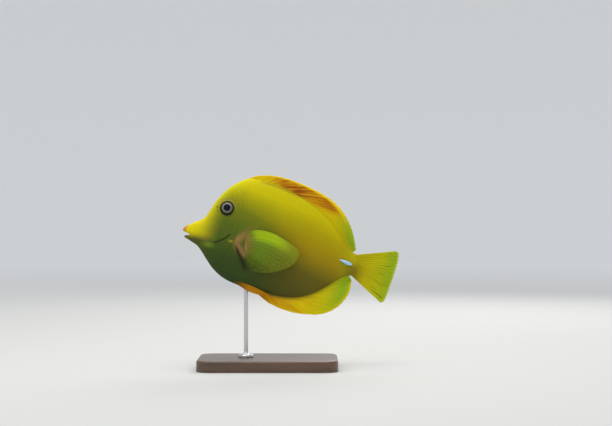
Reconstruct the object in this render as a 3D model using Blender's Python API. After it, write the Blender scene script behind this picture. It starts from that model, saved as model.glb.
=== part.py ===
# Yellow tang, life size, swimming with its fins half lowered, held by a plain display stand.
# The fish has a frame of its own: x runs from the snout to the tail, y is across with the left
# side at -y, and z is up. One empty carries that frame and turns it nose up over the stand.
import math

import bmesh
import bpy
import numpy as np
from mathutils import Euler, Matrix, Vector

MM = 0.001  # every size below is in millimetres
GAP = 0.3  # what touching pieces keep between them

# Pose and place of the fish over the stand
NOSE_UP = math.radians(13.0)
SNOUT_PLACE = (-60.2, 0.0, 96.0)

# The body, as sections from the mouth to the end of the tail's root.
# Top x, top z, bottom x, bottom z, half width, how far the sides are set back.
SECTIONS = (
    (7.5, 0.7, 7.5, -0.7, 0.8, 0.0),  # end of the mouth
    (3.4, 0.8, 4.6, -1.3, 1.8, 1.6),
    (0.9, 0.8, 2.6, -1.7, 2.3, 3.7),
    (0.0, 2.0, 1.9, -2.6, 2.7, 4.4),  # front of the lips
    (0.8, 3.8, 3.0, -3.5, 3.05, 4.4),
    (3.0, 5.7, 4.8, -4.0, 3.3, 3.7),
    (6.5, 8.5, 8.3, -5.3, 3.7, 2.2),
    (10.0, 10.7, 12.2, -6.9, 4.3, 0.9),
    (13.4, 14.0, 15.8, -9.8, 5.1, 0.2),  # foot of the forehead
    (15.9, 20.3, 20.3, -14.4, 6.3, 0.0),
    (18.6, 27.0, 26.0, -19.7, 7.4, 0.0),
    (22.7, 34.2, 32.5, -23.8, 8.3, 0.0),
    (28.6, 41.1, 39.5, -26.3, 9.0, 0.0),
    (37.0, 47.0, 47.5, -27.6, 9.4, 0.0),  # shoulder
    (47.5, 47.6, 56.5, -28.4, 9.4, 0.0),
    (60.0, 46.4, 66.0, -28.8, 8.9, 0.0),
    (73.5, 43.2, 76.5, -28.7, 8.1, 0.0),
    (86.5, 38.2, 87.5, -27.0, 7.0, 0.0),
    (97.5, 32.2, 97.5, -22.4, 5.7, 0.0),
    (106.5, 25.0, 105.8, -15.6, 4.6, 0.0),
    (113.0, 18.2, 112.6, -9.1, 3.7, 0.0),
    (118.5, 13.6, 118.4, -4.8, 3.0, 0.0),
    (122.3, 12.3, 122.2, -3.2, 2.5, 0.0),  # narrowest part of the tail's root
    (124.6, 11.0, 124.6, -2.0, 1.9, 0.0),
    (125.8, 8.6, 125.8, 0.6, 0.9, 0.0),
)
LIP_FRONT, SNOUT_BASE, SHOULDER = 3, 8, 13  # rows of SECTIONS
WIDE_SNOUT, WIDE_TRUNK = 0.5, 0.41  # share of the height at which a section is widest
EDGE_SNOUT, EDGE_TRUNK = 1.0, 1.25  # 1 is an ellipse; more draws its top and bottom to an edge
AROUND = 40  # points round a section
RINGS = ((LIP_FRONT, 2), (SHOULDER, 3), (len(SECTIONS) - 1, 2))  # rings a row, up to that row

# Where the head, trunk and tail's root part, as lines of (x, z) from above the fish to below it
GILL_LINE = (
    (31.0, 55.0), (34.0, 45.0), (37.6, 33.0), (39.0, 20.0), (38.8, 9.0),
    (37.6, 0.0), (34.6, -8.0), (30.0, -15.0), (25.0, -21.0), (21.5, -32.0),
)
TAIL_LINE = ((109.5, 55.0), (110.6, 5.0), (109.5, -32.0))
AHEAD_OF_FISH = ((-20.0, 55.0), (-20.0, -32.0))
BEHIND_FISH = ((140.0, 55.0), (140.0, -32.0))
GILL_FLARE, GILL_FLARE_REACH = 0.6, 5.0  # how far the gill cover's edge stands out, and fades
GILL_FLARE_LOW, GILL_FLARE_HIGH = (-26.0, -12.0), (10.0, 22.0)  # heights where it fades in and out
GILL_FLARE_KEEL = 2.0  # half width of the middle strip, above and below, that has less of it
GILL_SLIT = ((37.9, 16.0), (38.9, 9.0), (37.7, 0.0), (34.7, -8.0), (30.2, -15.0))
GILL_SLIT_RADIUS, GILL_SLIT_OUT = 0.55, 0.48
CHEEK_CREASE = ((34.2, 7.2), (32.0, 4.0), (28.8, 1.0), (24.3, -1.6))
CHEEK_CREASE_RADIUS = 0.4

# Head
EYE_CENTRE = (27.4, 5.15, 23.5)  # of the left eye, with y as a distance from the middle
EYE_RADIUS, EYE_DEPTH = 4.35, 3.5  # seen from the side, and along its axis
EYE_FORWARD, EYE_UP = math.radians(5.0), math.radians(9.0)  # where it looks
PUPIL_RADIUS, PUPIL_RISE = 2.3, 0.35
LID_RADIUS, LID_THICKNESS, LID_OUT = 4.75, 0.62, 1.15
NOSTRILS = ((20.3, 22.5, 0.65), (21.4, 19.9, 0.5))  # x, z, radius

# Fins. A ray runs from its place on the root to its place on the margin, and its tip is ahead
# of its root by the sweep: 1 - (1 - share) ** sweep.
# A fin's HALF tells what its root has more of half thickness, how soon that fades towards the
# margin, and what its leading rays have more.
MEMBRANE_HALF, RAY_HALF = 0.27, 0.5  # half thickness between the rays and on them
RAY_TAPER = 0.4  # share of its half thickness that a ray has lost at the margin
ROOT_SINK = 2.0
FOLD, FOLD_WAVES = 0.5, 1.5  # how far the dorsal and anal margins wave across, and how often
DORSAL_ROOT = (13.05, 21.05)  # from and to these rows of SECTIONS
DORSAL_MARGIN = (
    (37.4, 48.0), (40.4, 49.5), (44.5, 51.1), (51.0, 52.7), (58.0, 53.3), (68.0, 52.8), (80.0, 50.8),
    (91.0, 48.0), (100.0, 44.2), (108.0, 38.2), (115.0, 29.8), (119.6, 21.0), (121.8, 15.2),
)
DORSAL_SWEEP, DORSAL_RAYS, DORSAL_HALF = 2.5, 24, (0.7, 0.12, 0.15)
ANAL_ROOT = (14.4, 21.3)
ANAL_MARGIN = (
    (60.5, -30.0), (66.0, -33.2), (73.0, -35.8), (81.0, -37.3), (90.0, -37.7), (99.0, -36.7),
    (107.0, -34.8), (114.5, -30.6), (120.5, -23.6), (124.0, -14.6), (123.8, -6.6),
)
ANAL_SWEEP, ANAL_RAYS, ANAL_HALF = 3.0, 20, (0.6, 0.12, 0.1)
TAIL_ROOT = ((120.5, 11.2), (120.5, -2.0))
TAIL_MARGIN = (
    (149.6, 20.7), (152.0, 19.4), (152.7, 13.0), (152.1, 5.0), (151.3, -3.5),
    (150.4, -10.5), (149.3, -15.6), (147.3, -17.4),
)
TAIL_RAYS, TAIL_HALF = 14, (1.3, 0.2, 0.0)
TAIL_SWING, TAIL_FOLD, TAIL_FOLD_WAVES = 3.2, 0.55, 1.7

PECTORAL_ROOT = ((39.7, 2.9), (45.9, -6.1))  # from its upper, leading end
PECTORAL_MARGIN = (
    (80.8, 7.2), (83.8, 3.8), (82.8, -1.9), (77.6, -7.6), (69.2, -12.2), (60.6, -15.0),
    (53.5, -15.2),
)
PECTORAL_BOW = (-11.5, 17.5)  # how far the leading ray's middle is drawn from a straight line
PECTORAL_BOW_FADE, PECTORAL_OUT_POWER = 1.6, 0.9
PECTORAL_OUT = {"left": (5.5, 7.0, 2.5), "right": (7.5, 7.5, 3.0)}  # leading, middle, trailing
PECTORAL_RAYS, PECTORAL_HALF = 12, (0.8, 0.14, 0.25)

PELVIC_ROOT = ((42.4, -25.0), (45.2, -26.2))
PELVIC_TIP, PELVIC_TIP_DEPTH = (69.5, -29.4), 1.0
PELVIC_DEPTH, PELVIC_STRAIGHT = 3.6, 0.35  # its depth, and the place in it of the straight ray
PELVIC_RAYS, PELVIC_HALF = 5, (0.3, 0.1, 0.0)
PELVIC_SIDE, PELVIC_SINK = (2.7, 4.1), 0.9  # distance from the middle at its root and its tip

TAIL_SPINE_CENTRE = (116.6, 5.1)
TAIL_SPINE_HALF = (4.9, 1.15, 1.2)  # half length, height and thickness
TAIL_SPINE_TILT = math.radians(12.5)  # its rear end is lower

# Stand
BASE_SIZE = (98.0, 58.0, 8.0)
BASE_CORNER, BASE_EDGE = 9.0, 1.4
ROD_X, ROD_RADIUS, ROD_TOP = -15.4, 1.5, 71.0  # its top is inside the fish until it is shaped
ROD_SIDES = 16
FOOT_RADIUS, FOOT_HEIGHT, FOOT_FILLET, FOOT_CHAMFER = 5.5, 1.8, 2.2, 0.5

COLOURS = {
    "skin": ((0.78, 0.62, 0.02), 0.45),
    "fin": ((0.86, 0.60, 0.02), 0.5),
    "clear_fin": ((0.66, 0.66, 0.08), 0.45),
    "eye": ((0.03, 0.03, 0.04), 0.1),
    "spine": ((0.86, 0.86, 0.92), 0.35),
    "wood": ((0.10, 0.055, 0.03), 0.4),
    "steel": ((0.62, 0.62, 0.63), 0.3),
}


def clear_scene():
    for obj in list(bpy.data.objects):
        bpy.data.objects.remove(obj)


def materials():
    made = {}
    for name, (colour, roughness) in COLOURS.items():
        made[name] = bpy.data.materials.new(name)
        made[name].use_nodes = True
        shader = made[name].node_tree.nodes["Principled BSDF"]
        shader.inputs["Base Color"].default_value = (*colour, 1.0)
        shader.inputs["Roughness"].default_value = roughness
        shader.inputs["Metallic"].default_value = 1.0 if name == "steel" else 0.0
    return made


# Curves


def along(rows, place):
    # A smooth curve through the rows, read at a place such as 2.5, half way from row 2 to row 3.
    rows = np.asarray(rows, float)
    last = len(rows) - 1
    row = min(int(place), last - 1)
    part = place - row
    before, here = rows[max(row - 1, 0)], rows[row]
    after, beyond = rows[row + 1], rows[min(row + 2, last)]
    return here + 0.5 * part * (
        (after - before)
        + part * (2 * before - 5 * here + 4 * after - beyond)
        + part**2 * (3 * (here - after) + beyond - before)
    )


def by_length(points, steps=12):
    # A function that reads the smooth curve through the points by its share of the length.
    places = np.linspace(0, len(points) - 1, (len(points) - 1) * steps + 1)
    line = np.array([along(points, place) for place in places])
    travel = np.append(0, np.cumsum(np.linalg.norm(np.diff(line, axis=0), axis=1)))

    def at(share):
        return np.array([np.interp(share * travel[-1], travel, axis) for axis in line.T])

    return at


def ease(value, low, high):
    share = min(max((value - low) / (high - low), 0.0), 1.0)
    return share * share * (3 - 2 * share)


# Meshes


def new_object(name, bm, carrier=None, material=None):
    bmesh.ops.triangulate(bm, faces=bm.faces)
    bmesh.ops.recalc_face_normals(bm, faces=bm.faces)
    mesh = bpy.data.meshes.new(name)
    bm.to_mesh(mesh)
    bm.free()
    obj = bpy.data.objects.new(name, mesh)
    obj.parent = carrier
    if material:
        mesh.materials.append(material)
    bpy.context.scene.collection.objects.link(obj)
    return obj


def settle(obj):
    # Replaces the object's mesh by what its modifiers make of it.
    bpy.context.view_layer.update()
    graph = bpy.context.evaluated_depsgraph_get()
    mesh = bpy.data.meshes.new_from_object(obj.evaluated_get(graph))
    obj.modifiers.clear()
    obj.data = mesh


def combine(obj, others, operation):
    # One Boolean with all the others, which are then removed.
    group = bpy.data.collections.new(obj.name + "_" + operation.lower())
    bpy.context.scene.collection.children.link(group)
    for other in others:
        bpy.context.scene.collection.objects.unlink(other)
        group.objects.link(other)
    boolean = obj.modifiers.new(operation.lower(), "BOOLEAN")
    boolean.operation = operation
    if len(others) == 1:
        boolean.object = others[0]
    else:
        boolean.operand_type = "COLLECTION"
        boolean.collection = group
    settle(obj)
    for other in others:
        bpy.data.objects.remove(other)
    bpy.data.collections.remove(group)


def copy_of(obj):
    twin = obj.copy()
    twin.data = obj.data.copy()
    bpy.context.scene.collection.objects.link(twin)
    return twin


def keep_largest(obj):
    # Leaves the largest closed surface, so that no loose scrap of a cut stays behind.
    bm = bmesh.new()
    bm.from_mesh(obj.data)
    bmesh.ops.remove_doubles(bm, verts=bm.verts, dist=1e-4 * MM)
    left = set(bm.faces)
    shells = []
    while left:
        shell, edge_of_it = set(), [left.pop()]
        while edge_of_it:
            face = edge_of_it.pop()
            shell.add(face)
            near = {other for edge in face.edges for other in edge.link_faces} & left
            left -= near
            edge_of_it.extend(near)
        shells.append(shell)
    shells.sort(key=lambda shell: sum(face.calc_area() for face in shell))
    loose = [face for shell in shells[:-1] for face in shell]
    bmesh.ops.delete(bm, geom=loose, context="FACES")
    bmesh.ops.triangulate(bm, faces=bm.faces)
    bm.to_mesh(obj.data)
    bm.free()
    obj.data.shade_smooth()
    obj.data.set_sharp_from_angle(angle=math.radians(40))


def ellipsoid(name, carrier, centre, radii, turn=None, segments=16, rings=10):
    bm = bmesh.new()
    bmesh.ops.create_uvsphere(bm, u_segments=segments, v_segments=rings, radius=1.0)
    shape = (turn or Matrix.Identity(4)) @ Matrix.Diagonal((*[r * MM for r in radii], 1.0))
    bmesh.ops.transform(bm, matrix=Matrix.Translation(Vector(centre) * MM) @ shape, verts=bm.verts)
    return new_object(name, bm, carrier)


def ring_solid(name, carrier, turn, centre, radius, thickness, around=20, sides=6):
    bm = bmesh.new()
    loops = []
    for i in range(around):
        turned = 2 * math.pi * i / around
        loop = []
        for j in range(sides):
            roll = 2 * math.pi * j / sides
            reach = radius + thickness * math.cos(roll)
            flat = Vector((reach * math.cos(turned), reach * math.sin(turned), 0))
            spot = flat + Vector((0, 0, thickness * math.sin(roll)))
            loop.append(bm.verts.new((Vector(centre) + turn @ spot) * MM))
        loops.append(loop)
    for i in range(around):
        here, there = loops[i], loops[(i + 1) % around]
        for j in range(sides):
            k = (j + 1) % sides
            bm.faces.new((here[j], there[j], there[k], here[k]))
    return new_object(name, bm, carrier)


def slab(name, carrier, outline, half_depth=30.0):
    # A prism with this (x, z) outline, wide enough to pass through the whole fish.
    bm = bmesh.new()
    sides = [
        [bm.verts.new((x * MM, y * MM, z * MM)) for x, z in outline]
        for y in (-half_depth, half_depth)
    ]
    for i in range(len(outline)):
        k = (i + 1) % len(outline)
        bm.faces.new((sides[0][i], sides[0][k], sides[1][k], sides[1][i]))
    bm.faces.new(sides[0])
    bm.faces.new(reversed(sides[1]))
    return new_object(name, bm, carrier)


def tube(name, carrier, points, radius, sides=6):
    # A round bar through the points, with a pointed end at each end.
    points = [Vector(point) for point in points]
    beyond = points[1:] + points[-1:]
    before = points[:1] + points[:-1]
    ahead = [(after - prior).normalized() for prior, after in zip(before, beyond)]
    bm = bmesh.new()
    loops = []
    for point, way in zip(points, ahead):
        across = way.cross(Vector((0, 1, 0))).normalized()
        up = way.cross(across)
        loops.append([
            bm.verts.new((point + radius * (across * math.cos(a) + up * math.sin(a))) * MM)
            for a in [2 * math.pi * j / sides for j in range(sides)]
        ])
    for here, there in zip(loops, loops[1:]):
        for j in range(sides):
            k = (j + 1) % sides
            bm.faces.new((here[j], there[j], there[k], here[k]))
    for loop, point, way in ((loops[0], points[0], -ahead[0]), (loops[-1], points[-1], ahead[-1])):
        tip = bm.verts.new((point + way * radius) * MM)
        for j in range(sides):
            bm.faces.new((loop[j], loop[(j + 1) % sides], tip))
    return new_object(name, bm, carrier)


# Body


def skin_point(place, angle):
    # A point of the skin, at a place along SECTIONS and an angle up from the widest level.
    top_x, top_z, low_x, low_z, half_width, set_back = along(SECTIONS, place)
    trunk = ease(place, SNOUT_BASE - 2, SHOULDER)
    wide = WIDE_SNOUT + (WIDE_TRUNK - WIDE_SNOUT) * trunk
    edge = EDGE_SNOUT + (EDGE_TRUNK - EDGE_SNOUT) * trunk
    rise, side = math.sin(angle), math.cos(angle)
    height = wide + rise * (1 - wide if rise > 0 else wide)
    return Vector((
        low_x + (top_x - low_x) * height + set_back * side**2,
        math.copysign(half_width * abs(side) ** edge, side),
        low_z + (top_z - low_z) * height,
    ))


def skin_side(x, z):
    # How far the skin is from the middle, at an (x, z) of the fish's side.
    best = None
    for place in np.linspace(SNOUT_BASE, len(SECTIONS) - 2, 120):
        top_x, top_z, low_x, low_z, *_ = along(SECTIONS, place)
        height = (z - low_z) / (top_z - low_z)
        miss = abs(low_x + (top_x - low_x) * height - x)
        if 0 < height < 1 and (best is None or miss < best[0]):
            trunk = ease(place, SNOUT_BASE - 2, SHOULDER)
            wide = WIDE_SNOUT + (WIDE_TRUNK - WIDE_SNOUT) * trunk
            rise = (height - wide) / (1 - wide if height > wide else wide)
            best = (miss, skin_point(place, math.asin(rise)).y)
    return best[1]


def gill_flare(point):
    # The gill cover stands out towards its rear edge, which is the gill line.
    lines = np.array(GILL_LINE)[::-1]
    ahead = np.interp(point.z, lines[:, 1], lines[:, 0]) - point.x
    fade = math.exp(-max(ahead, 0.0) / GILL_FLARE_REACH)
    height = ease(point.z, *GILL_FLARE_LOW) * (1 - ease(point.z, *GILL_FLARE_HIGH))
    return GILL_FLARE * fade * height


def body(name, carrier, first_row=0, grow=0.0, flare=False):
    places = [float(first_row)]
    for row, rings in RINGS:
        while places[-1] < row:
            places.append(round(places[-1] + 1 / rings, 6))
    bm = bmesh.new()
    loops = []
    for place in places:
        angles = [2 * math.pi * i / AROUND for i in range(AROUND)]
        points = [skin_point(place, angle) for angle in angles]
        if flare:
            for point in points:
                beside = min(abs(point.y) / GILL_FLARE_KEEL, 1.0)
                point.y += math.copysign(gill_flare(point), point.y) * beside
        loops.append([bm.verts.new(point * MM) for point in points])
    for here, there in zip(loops, loops[1:]):
        for i in range(AROUND):
            k = (i + 1) % AROUND
            bm.faces.new((here[i], here[k], there[k], there[i]))
    bm.faces.new(loops[0])
    bm.faces.new(loops[-1])
    bmesh.ops.recalc_face_normals(bm, faces=bm.faces)
    bm.normal_update()
    moves = [(vert, vert.normal * grow * MM) for vert in bm.verts]
    for vert, move in moves:
        vert.co += move
    return new_object(name, bm, carrier)


def between(front, rear):
    # The (x, z) outline of what lies between two parting lines, less half the gap at each.
    half = GAP / 2
    ahead = [(x + half, z) for x, z in front]
    behind = [(x - half, z) for x, z in reversed(rear)]
    return ahead + behind


def split_body(carrier, skin):
    parts = (
        ("head", AHEAD_OF_FISH, GILL_LINE, True),
        ("trunk", GILL_LINE, TAIL_LINE, False),
        ("tail_root", TAIL_LINE, BEHIND_FISH, False),
    )
    for name, front, rear, is_head in parts:
        obj = body(name, carrier, flare=is_head)
        obj.data.materials.append(skin)
        if is_head:
            detail_head(obj, carrier)
        combine(obj, [slab("part", carrier, between(front, rear))], "INTERSECT")
        keep_largest(obj)


def on_skin(line, side, out=0.0):
    points = [by_length(line)(share) for share in np.linspace(0, 1, 9)]
    return [(x, side * (skin_side(x, z) + out), z) for x, z in points]


def eye_turn(side):
    # Turns a shape whose axis is +z to look out to that side, a little up and forward.
    facing = Euler((-side * math.pi / 2, 0, 0)).to_matrix()
    look = Euler((side * EYE_UP, 0, side * EYE_FORWARD)).to_matrix()
    return look @ facing


def eye_centre(side):
    x, y, z = EYE_CENTRE
    return Vector((x, side * y, z))


def detail_head(head, carrier):
    lids, cuts = [], []
    for side in (-1, 1):
        turn = eye_turn(side)
        out = turn @ Vector((0, 0, LID_OUT))
        lids.append(ring_solid("lid", carrier, turn, eye_centre(side) + out, LID_RADIUS, LID_THICKNESS))
        radii = (EYE_RADIUS + GAP, EYE_RADIUS + GAP, EYE_DEPTH + GAP)
        cuts.append(ellipsoid("socket", carrier, eye_centre(side), radii, turn.to_4x4(), 20, 12))
        for x, z, radius in NOSTRILS:
            centre = (x, side * skin_side(x, z), z)
            cuts.append(ellipsoid("nostril", carrier, centre, [radius] * 3, None, 8, 6))
        slit = on_skin(GILL_SLIT, side, GILL_SLIT_OUT)
        cuts.append(tube("slit", carrier, slit, GILL_SLIT_RADIUS))
        cuts.append(tube("crease", carrier, on_skin(CHEEK_CREASE, side), CHEEK_CREASE_RADIUS))
    combine(head, lids, "UNION")
    combine(head, cuts, "DIFFERENCE")


# Eyes and the tail's spines


def eye(name, carrier, side, material):
    turn = eye_turn(side)
    radii = (EYE_RADIUS, EYE_RADIUS, EYE_DEPTH)
    obj = ellipsoid(name, carrier, eye_centre(side), radii, turn.to_4x4(), 20, 12)
    obj.data.materials.append(material)
    share = PUPIL_RADIUS / EYE_RADIUS
    lens_out = EYE_DEPTH * math.sqrt(1 - share**2)
    radii = (PUPIL_RADIUS, PUPIL_RADIUS, EYE_DEPTH - lens_out + PUPIL_RISE)
    centre = eye_centre(side) + turn @ Vector((0, 0, lens_out))
    pupil = ellipsoid("pupil", carrier, centre, radii, turn.to_4x4(), 14, 6)
    combine(obj, [pupil], "UNION")
    keep_largest(obj)


def tail_spine(name, carrier, side, material, clearance):
    x, z = TAIL_SPINE_CENTRE
    length, height, thickness = TAIL_SPINE_HALF
    turn = Matrix.Rotation(TAIL_SPINE_TILT, 4, "Y")
    centre = (x, side * (skin_side(x, z) + 0.1), z)
    obj = ellipsoid(name, carrier, centre, (length, thickness, height), turn, 14, 10)
    obj.data.materials.append(material)
    combine(obj, [copy_of(clearance)], "DIFFERENCE")
    keep_largest(obj)


# Fins


def fin(name, carrier, rays, rows, centre, half, material, clearance):
    # A membrane with a raised ray on every other column, alike on both faces.
    # centre(u, v) gives its middle surface: u is 0 to 1 from ray to ray, v from root to margin.
    columns = 2 * rays - 1
    step = 1e-3
    bm = bmesh.new()
    faces = {1: {}, -1: {}}
    for i in range(columns):
        for j in range(rows + 1):
            u, v = i / (columns - 1), j / rows
            along_u = centre(min(u + step, 1), v) - centre(max(u - step, 0), v)
            along_v = centre(u, min(v + step, 1)) - centre(u, max(v - step, 0))
            normal = Vector(np.cross(along_u, along_v)).normalized()
            reach = normal * half(i % 2 == 0, u, v)
            for side in (1, -1):
                faces[side][i, j] = bm.verts.new((Vector(centre(u, v)) + side * reach) * MM)
    for i in range(columns - 1):
        for j in range(rows):
            for side in (1, -1):
                grid = faces[side]
                a, b, c, d = grid[i, j], grid[i + 1, j], grid[i + 1, j + 1], grid[i, j + 1]
                bm.faces.new((a, b, c))
                bm.faces.new((a, c, d))
    rim = [(i, 0) for i in range(columns)] + [(columns - 1, j) for j in range(1, rows + 1)]
    rim += [(i, rows) for i in range(columns - 2, -1, -1)] + [(0, j) for j in range(rows - 1, 0, -1)]
    for here, there in zip(rim, rim[1:] + rim[:1]):
        bm.faces.new((faces[1][here], faces[1][there], faces[-1][there], faces[-1][here]))
    obj = new_object(name, bm, carrier, material)
    combine(obj, [copy_of(clearance)], "DIFFERENCE")
    keep_largest(obj)
    return obj


def ridged(root_more, fade, leading_more):
    # Half thickness: thick at the root, then membrane and rays that thin towards the margin.
    def half(on_ray, u, v):
        ray = (RAY_HALF + leading_more * (1 - u)) * (1 - RAY_TAPER * v) if on_ray else 0.0
        return max(ray, MEMBRANE_HALF) + root_more * math.exp(-v / fade)

    return half


def body_edge(rows, top):
    # The body's upper or lower edge between two rows, sunk into the body, by share of length.
    points = []
    for place in np.linspace(*rows, 16):
        top_x, top_z, low_x, low_z, *_ = along(SECTIONS, place)
        upper, lower = Vector((top_x, top_z)), Vector((low_x, low_z))
        edge, inward = (upper, lower - upper) if top else (lower, upper - lower)
        points.append(edge + inward.normalized() * ROOT_SINK)
    return by_length(points)


def swept(root, margin, sweep, sway):
    # Straight rays in the fish's middle plane, waved across it by sway(u, v).
    def centre(u, v):
        start, end = root(u), margin(1 - (1 - u) ** sweep)
        x, z = start + (end - start) * v
        return np.array((x, sway(u, v), z))

    return centre


def middle_fins(carrier, paint, clearance):
    def fold(u, v):
        return FOLD * v * math.sin(2 * math.pi * FOLD_WAVES * u)

    def tail_curve(u, v):
        return TAIL_SWING * v**2 + TAIL_FOLD * v * math.sin(2 * math.pi * TAIL_FOLD_WAVES * u)

    dorsal = swept(body_edge(DORSAL_ROOT, True), by_length(DORSAL_MARGIN), DORSAL_SWEEP, fold)
    anal = swept(body_edge(ANAL_ROOT, False), by_length(ANAL_MARGIN), ANAL_SWEEP, fold)
    tail = swept(by_length(TAIL_ROOT), by_length(TAIL_MARGIN), 1.0, tail_curve)
    material = paint["fin"]
    fin("dorsal_fin", carrier, DORSAL_RAYS, 5, dorsal, ridged(*DORSAL_HALF), material, clearance)
    fin("anal_fin", carrier, ANAL_RAYS, 5, anal, ridged(*ANAL_HALF), material, clearance)
    fin("tail_fin", carrier, TAIL_RAYS, 6, tail, ridged(*TAIL_HALF), material, clearance)


def pectoral(side_name, side, carrier, paint, clearance):
    root, margin = by_length(PECTORAL_ROOT), by_length(PECTORAL_MARGIN)
    leading, middle, trailing = PECTORAL_OUT[side_name]

    def centre(u, v):
        start, end = root(u), margin(u)
        bow = np.array(PECTORAL_BOW) * (1 - u) ** PECTORAL_BOW_FADE
        x, z = start + (end - start) * v + bow * 2 * v * (1 - v)
        out = leading + (trailing - leading) * u + middle * math.sin(math.pi * u)
        root_y = skin_side(*start) - ROOT_SINK
        y = root_y + (out + ROOT_SINK) * v**PECTORAL_OUT_POWER
        return np.array((x, side * y, z))

    name = "pectoral_fin_" + side_name
    half = ridged(*PECTORAL_HALF)
    fin(name, carrier, PECTORAL_RAYS, 7, centre, half, paint["clear_fin"], clearance)


def pelvic(side_name, side, carrier, paint, clearance):
    root = by_length(PELVIC_ROOT)
    tip = np.array(PELVIC_TIP)

    def centre(u, v):
        start = root(u)
        end = tip + (0.0, PELVIC_TIP_DEPTH * (0.5 - u))
        x, z = start + (end - start) * v
        z -= PELVIC_DEPTH * (u - PELVIC_STRAIGHT) * math.sin(math.pi * min(v * 1.05, 1.0)) ** 0.8
        near, far = PELVIC_SIDE
        return np.array((x, side * (near + (far - near) * v - PELVIC_SINK * (1 - v) ** 6), z))

    name = "pelvic_fin_" + side_name
    fin(name, carrier, PELVIC_RAYS, 6, centre, ridged(*PELVIC_HALF), paint["fin"], clearance)


# Stand


def stand_base(material):
    length, width, height = BASE_SIZE
    corner = BASE_CORNER
    outline = []
    for turn, (sx, sy) in enumerate(((1, 1), (-1, 1), (-1, -1), (1, -1))):
        middle = Vector((sx * (length / 2 - corner), sy * (width / 2 - corner)))
        for step in range(7):
            angle = math.pi / 2 * (turn + step / 6)
            outline.append(middle + corner * Vector((math.cos(angle), math.sin(angle))))
    bm = bmesh.new()
    floor = bm.faces.new([bm.verts.new((point.x * MM, point.y * MM, 0)) for point in outline])
    raised = bmesh.ops.extrude_face_region(bm, geom=[floor])
    lifted = [item for item in raised["geom"] if isinstance(item, bmesh.types.BMVert)]
    bmesh.ops.translate(bm, verts=lifted, vec=(0, 0, height * MM))
    top = [edge for edge in bm.edges if all(vert in lifted for vert in edge.verts)]
    bmesh.ops.bevel(bm, geom=top, offset=BASE_EDGE * MM, segments=3, profile=0.5, affect="EDGES")
    obj = new_object("stand_base", bm, None, material)
    keep_largest(obj)


def stand_rod(material, clearance):
    # A turned foot that curves up into a straight rod, whose top is shaped to the belly.
    start = BASE_SIZE[2] + GAP
    profile = [(FOOT_RADIUS, 0.0), (FOOT_RADIUS, FOOT_HEIGHT - FOOT_CHAMFER)]
    profile.append((FOOT_RADIUS - FOOT_CHAMFER, FOOT_HEIGHT))
    for step in range(1, 5):
        angle = math.pi / 2 * step / 5
        reach = ROD_RADIUS + FOOT_FILLET * (1 - math.sin(angle))
        profile.append((reach, FOOT_HEIGHT + FOOT_FILLET * (1 - math.cos(angle))))
    profile.append((ROD_RADIUS, FOOT_HEIGHT + FOOT_FILLET))
    profile.append((ROD_RADIUS, ROD_TOP))
    bm = bmesh.new()
    loops = [
        [
            bm.verts.new(Vector((r * math.cos(a), r * math.sin(a), start + z)) * MM)
            for a in [2 * math.pi * i / ROD_SIDES for i in range(ROD_SIDES)]
        ]
        for r, z in profile
    ]
    for here, there in zip(loops, loops[1:]):
        for i in range(ROD_SIDES):
            k = (i + 1) % ROD_SIDES
            bm.faces.new((here[i], here[k], there[k], there[i]))
    bm.faces.new(loops[0])
    bm.faces.new(loops[-1])
    obj = new_object("stand_rod", bm, None, material)
    obj.location.x = ROD_X * MM
    combine(obj, [copy_of(clearance)], "DIFFERENCE")
    keep_lowest(obj)


def keep_lowest(obj):
    # The rod's top runs through the fish, and only the length below the belly stays.
    bm = bmesh.new()
    bm.from_mesh(obj.data)
    bm.verts.ensure_lookup_table()
    lowest = min(bm.verts, key=lambda vert: vert.co.z)
    reached, edge_of_it = {lowest}, [lowest]
    while edge_of_it:
        vert = edge_of_it.pop()
        near = {edge.other_vert(vert) for edge in vert.link_edges} - reached
        reached |= near
        edge_of_it.extend(near)
    bmesh.ops.delete(bm, geom=[vert for vert in bm.verts if vert not in reached], context="VERTS")
    bm.to_mesh(obj.data)
    bm.free()
    keep_largest(obj)


def main():
    clear_scene()
    paint = materials()
    carrier = bpy.data.objects.new("fish", None)
    carrier.location = Vector(SNOUT_PLACE) * MM
    carrier.rotation_euler = (0, NOSE_UP, 0)
    bpy.context.scene.collection.objects.link(carrier)
    clearance = body("clearance", carrier, first_row=LIP_FRONT, grow=GAP)
    split_body(carrier, paint["skin"])
    middle_fins(carrier, paint, clearance)
    for side_name, side in (("left", -1), ("right", 1)):
        eye("eye_" + side_name, carrier, side, paint["eye"])
        tail_spine("tail_spine_" + side_name, carrier, side, paint["spine"], clearance)
        pectoral(side_name, side, carrier, paint, clearance)
        pelvic(side_name, side, carrier, paint, clearance)
    stand_base(paint["wood"])
    stand_rod(paint["steel"], clearance)
    bpy.data.objects.remove(clearance)


main()
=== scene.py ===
# Yellow tang on its display stand: the looks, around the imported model.
import math

import bpy
import numpy as np
from mathutils import Euler, Matrix, Vector


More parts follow.
